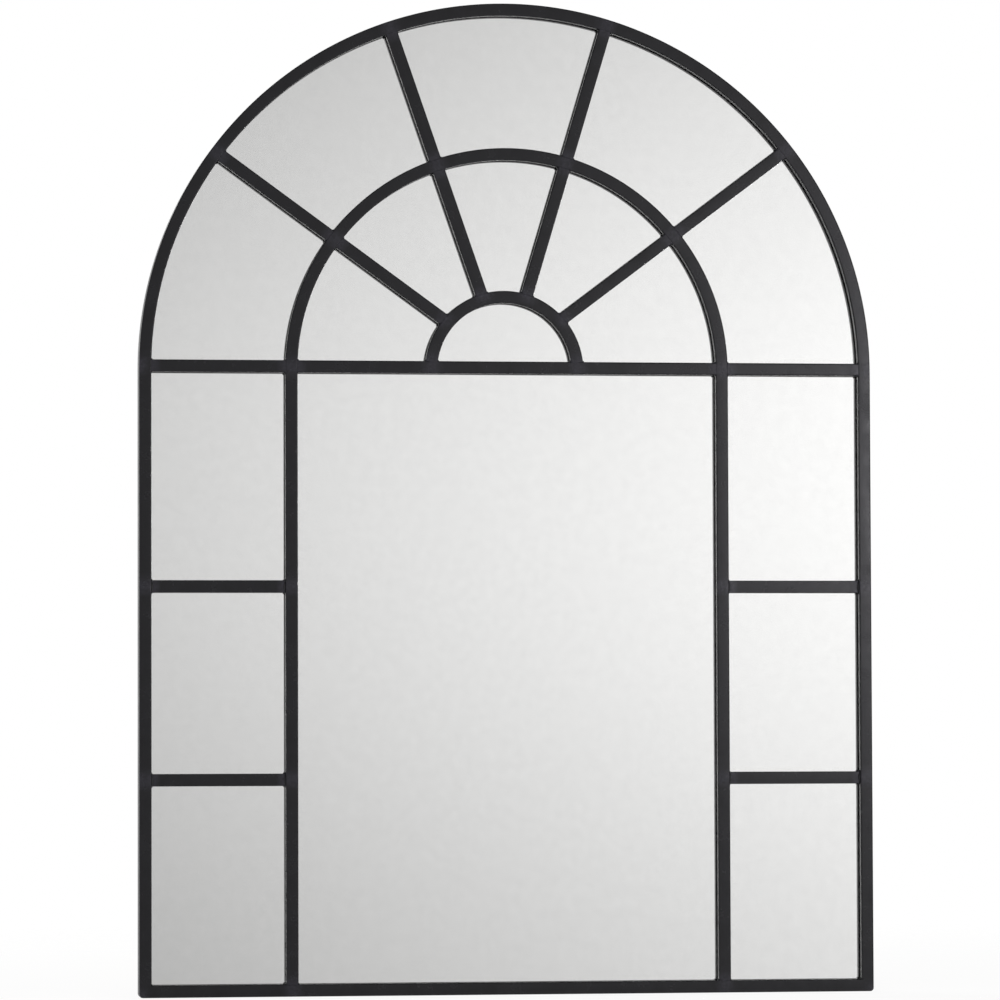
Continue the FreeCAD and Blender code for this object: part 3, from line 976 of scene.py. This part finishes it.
@dataclass
class BoardFixings(Assembly):
    """Bent clips that press the board home, each with a hexagon-headed screw in the rim."""

    rim_thickness: float = 3 * MM
    clip_width: float = 14 * MM
    clip_foot: float = 12 * MM
    clip_metal: float = 1.2 * MM
    clip_bend: float = 1.0 * MM
    clip_back_y: float = -1 * MM
    board_back_y: float = -8.6 * MM
    seat_gap: float = 0.06 * MM
    screw_head: float = 2.85 * MM
    hexagon_share: float = 0.86
    screw_height: float = 1.8 * MM
    washer_height: float = 0.45 * MM
    side_drop: float = 395 * MM
    rail_places: tuple[float, ...] = (-215 * MM, 215 * MM)
    arch_angles: tuple[float, ...] = (12.0, 68.0, 112.0, 168.0)

    def places(self) -> list[Matrix]:
        """Find where each clip stands: its origin on the rim's inner face, with +X outwards.

        Returns:
            One matrix for each clip.
        """
        plan = self.plan
        inside = plan.half_width - self.rim_thickness
        side_z = plan.arch_z - self.side_drop
        spots = [(x, plan.bottom_z + self.rim_thickness, -90.0) for x in self.rail_places]
        spots += [(inside, side_z, 0.0), (-inside, side_z, 180.0)]
        for angle in self.arch_angles:
            turn = math.radians(angle)
            spots.append((inside * math.cos(turn), plan.arch_z + inside * math.sin(turn), angle))
        return [
            Matrix.Translation((x, 0.0, z)) @ Matrix.Rotation(-math.radians(angle), 4, "Y")
            for x, z, angle in spots
        ]

    def clip(self, bm: BMesh, place: Matrix) -> None:
        """Bend one clip from strip.

        Args:
            bm: mesh that gets the clip.
            place: where it stands.
        """
        half_metal = self.clip_metal / 2
        foot_y = self.board_back_y + half_metal
        leg_x = -self.seat_gap - half_metal
        corners = ((-self.seat_gap - self.clip_foot, foot_y), (leg_x, foot_y), (leg_x, self.clip_back_y))
        line = [bm.verts.new((x, y, -self.clip_width / 2)) for x, y in corners]
        edges = [bm.edges.new(pair) for pair in zip(line, line[1:])]
        grown = bmesh.ops.extrude_edge_only(bm, edges=edges)["geom"]
        far = [part for part in grown if isinstance(part, BMVert)]
        bmesh.ops.translate(bm, vec=(0.0, 0.0, self.clip_width), verts=far)
        bend = [edge for edge in line[1].link_edges if edge.other_vert(line[1]) in far]
        bent = bmesh.ops.bevel(bm, geom=bend, offset=self.clip_bend, segments=4, profile=0.5, affect="EDGES")
        verts = {vert for vert in line + far if vert.is_valid} | set(bent["verts"])
        faces = list({face for vert in verts for face in vert.link_faces})
        middle = bmesh.ops.solidify(bm, geom=faces, thickness=self.clip_metal)["geom"]
        verts |= {part for part in middle if isinstance(part, BMVert)}
        # The thickened strip is shifted, so that its metal is centred on the line it was bent to.
        low_y = min(vert.co.y for vert in verts)
        high_x = max(vert.co.x for vert in verts)
        shift = Vector((leg_x + half_metal - high_x, foot_y - half_metal - low_y, 0.0))
        bmesh.ops.transform(bm, matrix=place @ Matrix.Translation(shift), verts=list(verts))

    def screw(self, bm: BMesh, place: Matrix) -> None:
        """Form one screw's washer and hexagon head on the clip's leg.

        Args:
            bm: mesh that gets the screw.
            place: where its clip stands.
        """
        seat = -self.seat_gap - self.clip_metal
        y = (self.board_back_y + self.clip_metal + self.clip_back_y) / 2
        lay = place @ Matrix.Translation((seat, y, 0.0)) @ Matrix.Rotation(math.radians(-90), 4, "Y")
        away = lay.to_3x3().col[2]
        for radius, height, corners, chamfer in (
            (self.screw_head, self.washer_height, 24, 0.12 * MM),
            (self.screw_head * self.hexagon_share, self.screw_height, 6, 0.25 * MM),
        ):
            middle = lay @ Matrix.Translation((0.0, 0.0, height / 2))
            size = {"radius1": radius, "radius2": radius, "depth": height}
            made = bmesh.ops.create_cone(bm, cap_ends=True, segments=corners, matrix=middle, **size)
            # The outer rim is chamfered: its edges lie across the axis, in the outer half.
            top = [
                edge
                for edge in {edge for vert in made["verts"] for edge in vert.link_edges}
                if abs((edge.verts[0].co - edge.verts[1].co).normalized().dot(away)) < 0.1
                and (edge.verts[0].co - lay.translation).dot(away) > height / 2
            ]
            bmesh.ops.bevel(bm, geom=top, offset=chamfer, segments=2, profile=0.5, affect="EDGES")

    def build(self) -> Iterator[Object]:
        """Build the clips and their screws.

        Returns:
            All clips as one piece, then all screws as one.
        """
        for form, name, node in (
            (self.clip, "bent_board_clips", "board_clips"),
            (self.screw, "hex_clip_screws", "clip_screws"),
        ):
            bm = bmesh.new()
            for place in self.places():
                form(bm, place)
            bmesh.ops.recalc_face_normals(bm, faces=bm.faces)
            yield self.piece(bm, name, node, slot=Slot.ZINC)


@dataclass
class SheetStack(Assembly):
    """CAD nodes that keep their own shape: the sheets, the tapes, the pads and the hangers."""

    slots: tuple[tuple[str, Slot], ...] = (
        ("mirror_glass", Slot.GLASS),
        ("mirror_silvering", Slot.SILVER),
        ("back_board", Slot.BOARD),
        ("edge_tape", Slot.FOAM),
        ("grille_tape", Slot.FOAM),
        ("glass_pads", Slot.RUBBER),
        ("keyhole_plate_left", Slot.PAINT),
        ("keyhole_plate_right", Slot.PAINT),
    )

    def build(self) -> Iterator[Object]:
        """Give each node its finish.

        Returns:
            The nodes, in turn.
        """
        for name, slot in self.slots:
            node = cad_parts[name]
            node.data.materials.clear()
            node.data.materials.append(self.finishes[slot])
            yield node


# ---- the studio


@dataclass(frozen=True)
class Softbox:
    """One rectangular studio lamp."""

    name: str
    place: tuple[float, float, float]
    target: tuple[float, float, float]
    size: tuple[float, float]
    power: float

    def hang(self) -> None:
        """Hang the lamp and aim it."""
        lamp = bpy.data.lights.new(self.name, "AREA")
        lamp.shape = "RECTANGLE"
        lamp.size, lamp.size_y = self.size
        lamp.energy = self.power
        holder = put_in_scene(self.name, lamp)
        holder.location = self.place
        aim = Vector(self.target) - Vector(self.place)
        holder.rotation_mode = "QUATERNION"
        holder.rotation_quaternion = aim.to_track_quat("-Z", "Y")


@dataclass(frozen=True)
class Ramp:
    """Level that goes from the third number of its span to the fourth, between two values of an axis."""

    axis: str
    span: tuple[float, float, float, float]
    eased: bool = True


@dataclass
class Studio:
    """Pale floor, even surroundings, soft lamps and the camera."""

    plan: Plan
    white: str = "#FFFFFF"
    floor_tones: tuple[tuple[float, str], ...] = ((0.3, "#E6E6E4"), (0.7, "#E9E9E7"))
    floor_grain_mm: float = 25.0
    floor_gap: float = 0.2 * MM
    floor_radius: float = 3.0
    floor_fade: tuple[float, float] = (0.9, 2.7)
    floor_share: float = 0.85
    floor_glow: float = 1.06
    fill: float = 0.55
    sensor: float = 36.0
    focal_pixels: float = 5392.9
    eye: tuple[float, float, float] = (-0.910, -6.528, -0.7672)
    yaw: float = 7.880
    pitch: float = 2.609
    roll: float = -0.194
    # The room, by the direction in which the mirror looks: brighter to the right and at eye level.
    # The last four ramps shape what only other views see: its left, its right, its floor and ceiling.
    room: tuple[Ramp, ...] = (
        Ramp("X", (0.06, 0.215, 0.688, 1.175), eased=False),
        Ramp("Z", (-0.085, 0.05, 0.66, 1.0)),
        Ramp("Z", (0.055, 0.17, 1.0, 0.71)),
        Ramp("X", (-0.45, 0.03, 1.42, 1.0)),
        Ramp("X", (0.23, 0.42, 1.0, 0.8)),
        Ramp("Z", (-0.35, -0.10, 1.35, 1.0)),
        Ramp("Z", (0.17, 0.35, 1.0, 0.45)),
    )
    # Away from the middle of the room, soft lighter and darker patches of wall.
    patches: tuple[Ramp, ...] = (Ramp("X", (-0.12, 0.04, 1.0, 0.0)), Ramp("X", (0.22, 0.40, 0.0, 1.0)))
    patch_scale: float = 8.0
    patch_span: tuple[float, ...] = (0.3, 0.7, 0.8, 1.2)
    lamps: tuple[Softbox, ...] = (
        Softbox("softbox_right", (1.84, -4.9, -0.18), (0.35, 0.0, -0.45), (0.6, 0.7), 18.0),
        Softbox("softbox_top", (-0.4, -1.6, 1.9), (0.0, 0.0, -0.6), (1.8, 1.2), 4.0),
        Softbox("softbox_rear", (-1.1, 1.9, 0.9), (0.0, 0.0, -0.5), (1.2, 1.2), 12.0),
    )

    def build(self) -> None:
        """Set up the whole studio."""
        bpy.context.scene.view_settings.view_transform = "Standard"
        self.floor()
        self.surroundings()
        for lamp in self.lamps:
            lamp.hang()
        self.camera()

    def floor(self) -> None:
        """Lay a round pale floor under the frame."""
        bm = bmesh.new()
        level = Matrix.Translation((0.0, 0.0, self.plan.bottom_z - self.floor_gap))
        bmesh.ops.create_circle(bm, cap_ends=True, segments=96, radius=self.floor_radius, matrix=level)
        mesh_object(bm, "studio_floor", self.paper())

    def paper(self) -> Material:
        """Build the floor's paper: matt, nearly white to the eye, and fading out towards its edge.

        Returns:
            The material.
        """
        material, tree, place = new_material("studio_paper")
        path = add_node(tree, "LightPath")
        pulp = {"Scale": per_metre(self.floor_grain_mm), "Detail": 4.0}
        grain = add_node(tree, "TexNoise", pulp, {"Vector": place})
        tone = add_node(tree, "ValToRGB", links={"Fac": grain}, stops=self.floor_tones)
        paper = add_node(tree, "BsdfDiffuse", links={"Color": tone})
        glow = add_node(tree, "Emission", {"Color": linear(self.white), "Strength": self.floor_glow})
        seen = {0: path.outputs["Is Camera Ray"]}
        share = add_node(tree, "Math", {1: self.floor_share}, seen, operation="MULTIPLY")
        lit = add_node(tree, "MixShader", links={0: share, 1: paper, 2: glow})
        flat = add_node(tree, "VectorMath", {1: (1.0, 1.0, 0.0)}, {0: place}, operation="MULTIPLY")
        distance = add_node(tree, "VectorMath", links={0: flat}, operation="LENGTH").outputs["Value"]
        span = dict(zip(RANGE, self.floor_fade))
        fade = add_node(tree, "MapRange", span, {"Value": distance}, interpolation_type="SMOOTHSTEP")
        # The mirror and the glass look through the floor to the surroundings.
        gone = add_node(tree, "Math", links={0: fade, 1: self.through(tree, path)}, operation="MAXIMUM")
        clear = add_node(tree, "BsdfTransparent")
        surface = add_node(tree, "MixShader", links={0: gone, 1: lit, 2: clear})
        add_node(tree, "OutputMaterial", links={"Surface": surface})
        return material

    def through(self, tree: NodeTree, path: Node) -> Node:
        """Node that gives 1 for a ray that comes by way of the mirror or the glass."""
        kinds = {0: path.outputs["Is Glossy Ray"], 1: path.outputs["Is Transmission Ray"]}
        return add_node(tree, "Math", links=kinds, operation="MAXIMUM")

    def graded(self, tree: NodeTree, way: Node, ramps: Sequence[Ramp]) -> Node:
        """Multiply several ramps of the ray's direction.

        Args:
            tree: the world's node tree.
            way: node that gives the direction's X, Y and Z.
            ramps: the ramps.

        Returns:
            The node that holds their product.
        """
        level = None
        for ramp in ramps:
            ease = "SMOOTHSTEP" if ramp.eased else "LINEAR"
            span, axis = dict(zip(RANGE, ramp.span)), {"Value": way.outputs[ramp.axis]}
            step = add_node(tree, "MapRange", span, axis, interpolation_type=ease)
            if level is not None:
                step = add_node(tree, "Math", links={0: level, 1: step}, operation="MULTIPLY")
            level = step
        return level

    def surroundings(self) -> None:
        """Make the surroundings: white to the eye, a pale room in the mirror, soft fill as light."""
        world = bpy.data.worlds.new("studio_surroundings")
        world.use_nodes = True
        tree = world.node_tree
        tree.nodes.clear()
        path = add_node(tree, "LightPath")
        direction = add_node(tree, "TexCoord").outputs["Generated"]
        way = add_node(tree, "SeparateXYZ", links={0: direction})
        blotch = {"Scale": self.patch_scale, "Detail": 1.0}
        blotches = add_node(tree, "TexNoise", blotch, {"Vector": direction})
        patch = add_node(tree, "MapRange", dict(zip(RANGE, self.patch_span)), {"Value": blotches})
        left, right = (self.graded(tree, way, [ramp]) for ramp in self.patches)
        share = add_node(tree, "Math", links={0: left, 1: right}, operation="ADD")
        shade = add_node(tree, "Mix", {2: 1.0}, {0: share, 3: patch}, data_type="FLOAT")
        room = self.graded(tree, way, self.room)
        wall = add_node(tree, "Math", links={0: room, 1: shade}, operation="MULTIPLY")
        white, fill, reflected = (
            add_node(tree, "Background", {"Color": linear(self.white), "Strength": strength}, links)
            for strength, links in ((1.0, {}), (self.fill, {}), (1.0, {"Strength": wall}))
        )
        lit = add_node(tree, "MixShader", links={0: self.through(tree, path), 1: fill, 2: reflected})
        shown = add_node(tree, "MixShader", links={0: path.outputs["Is Camera Ray"], 1: lit, 2: white})
        add_node(tree, "OutputWorld", links={"Surface": shown})
        bpy.context.scene.world = world

    def camera(self) -> None:
        """Set up the camera at the photograph's viewing angle."""
        data = bpy.data.cameras.new("camera")
        data.sensor_width = self.sensor
        data.lens = self.focal_pixels / IMAGE_PIXELS * self.sensor
        aim = Matrix.Translation(self.eye)
        # A camera looks down until it is tilted up by a right angle and its pitch.
        for axis, angle in (("Z", -self.yaw), ("X", 90.0 + self.pitch), ("Z", self.roll)):
            aim = aim @ Matrix.Rotation(math.radians(angle), 4, axis)
        holder = put_in_scene("camera", data)
        holder.matrix_world = aim
        bpy.context.scene.camera = holder


def main() -> None:
    """Build and dress the mirror, then the studio."""
    logging.basicConfig(level=logging.INFO, format="%(message)s")
    plan = Plan()
    finishes = {slot: finish.material() for slot, finish in FINISHES.items()}
    for kind in (OuterFrame, InnerWindow, Crossbars, WeldBeads, RearRim, BoardFixings, SheetStack):
        for piece in kind(plan, finishes).build():
            LOG.info("%s: %d faces", piece.name, len(piece.data.polygons))
    Studio(plan).build()


if __name__ == "__main__":
    main()
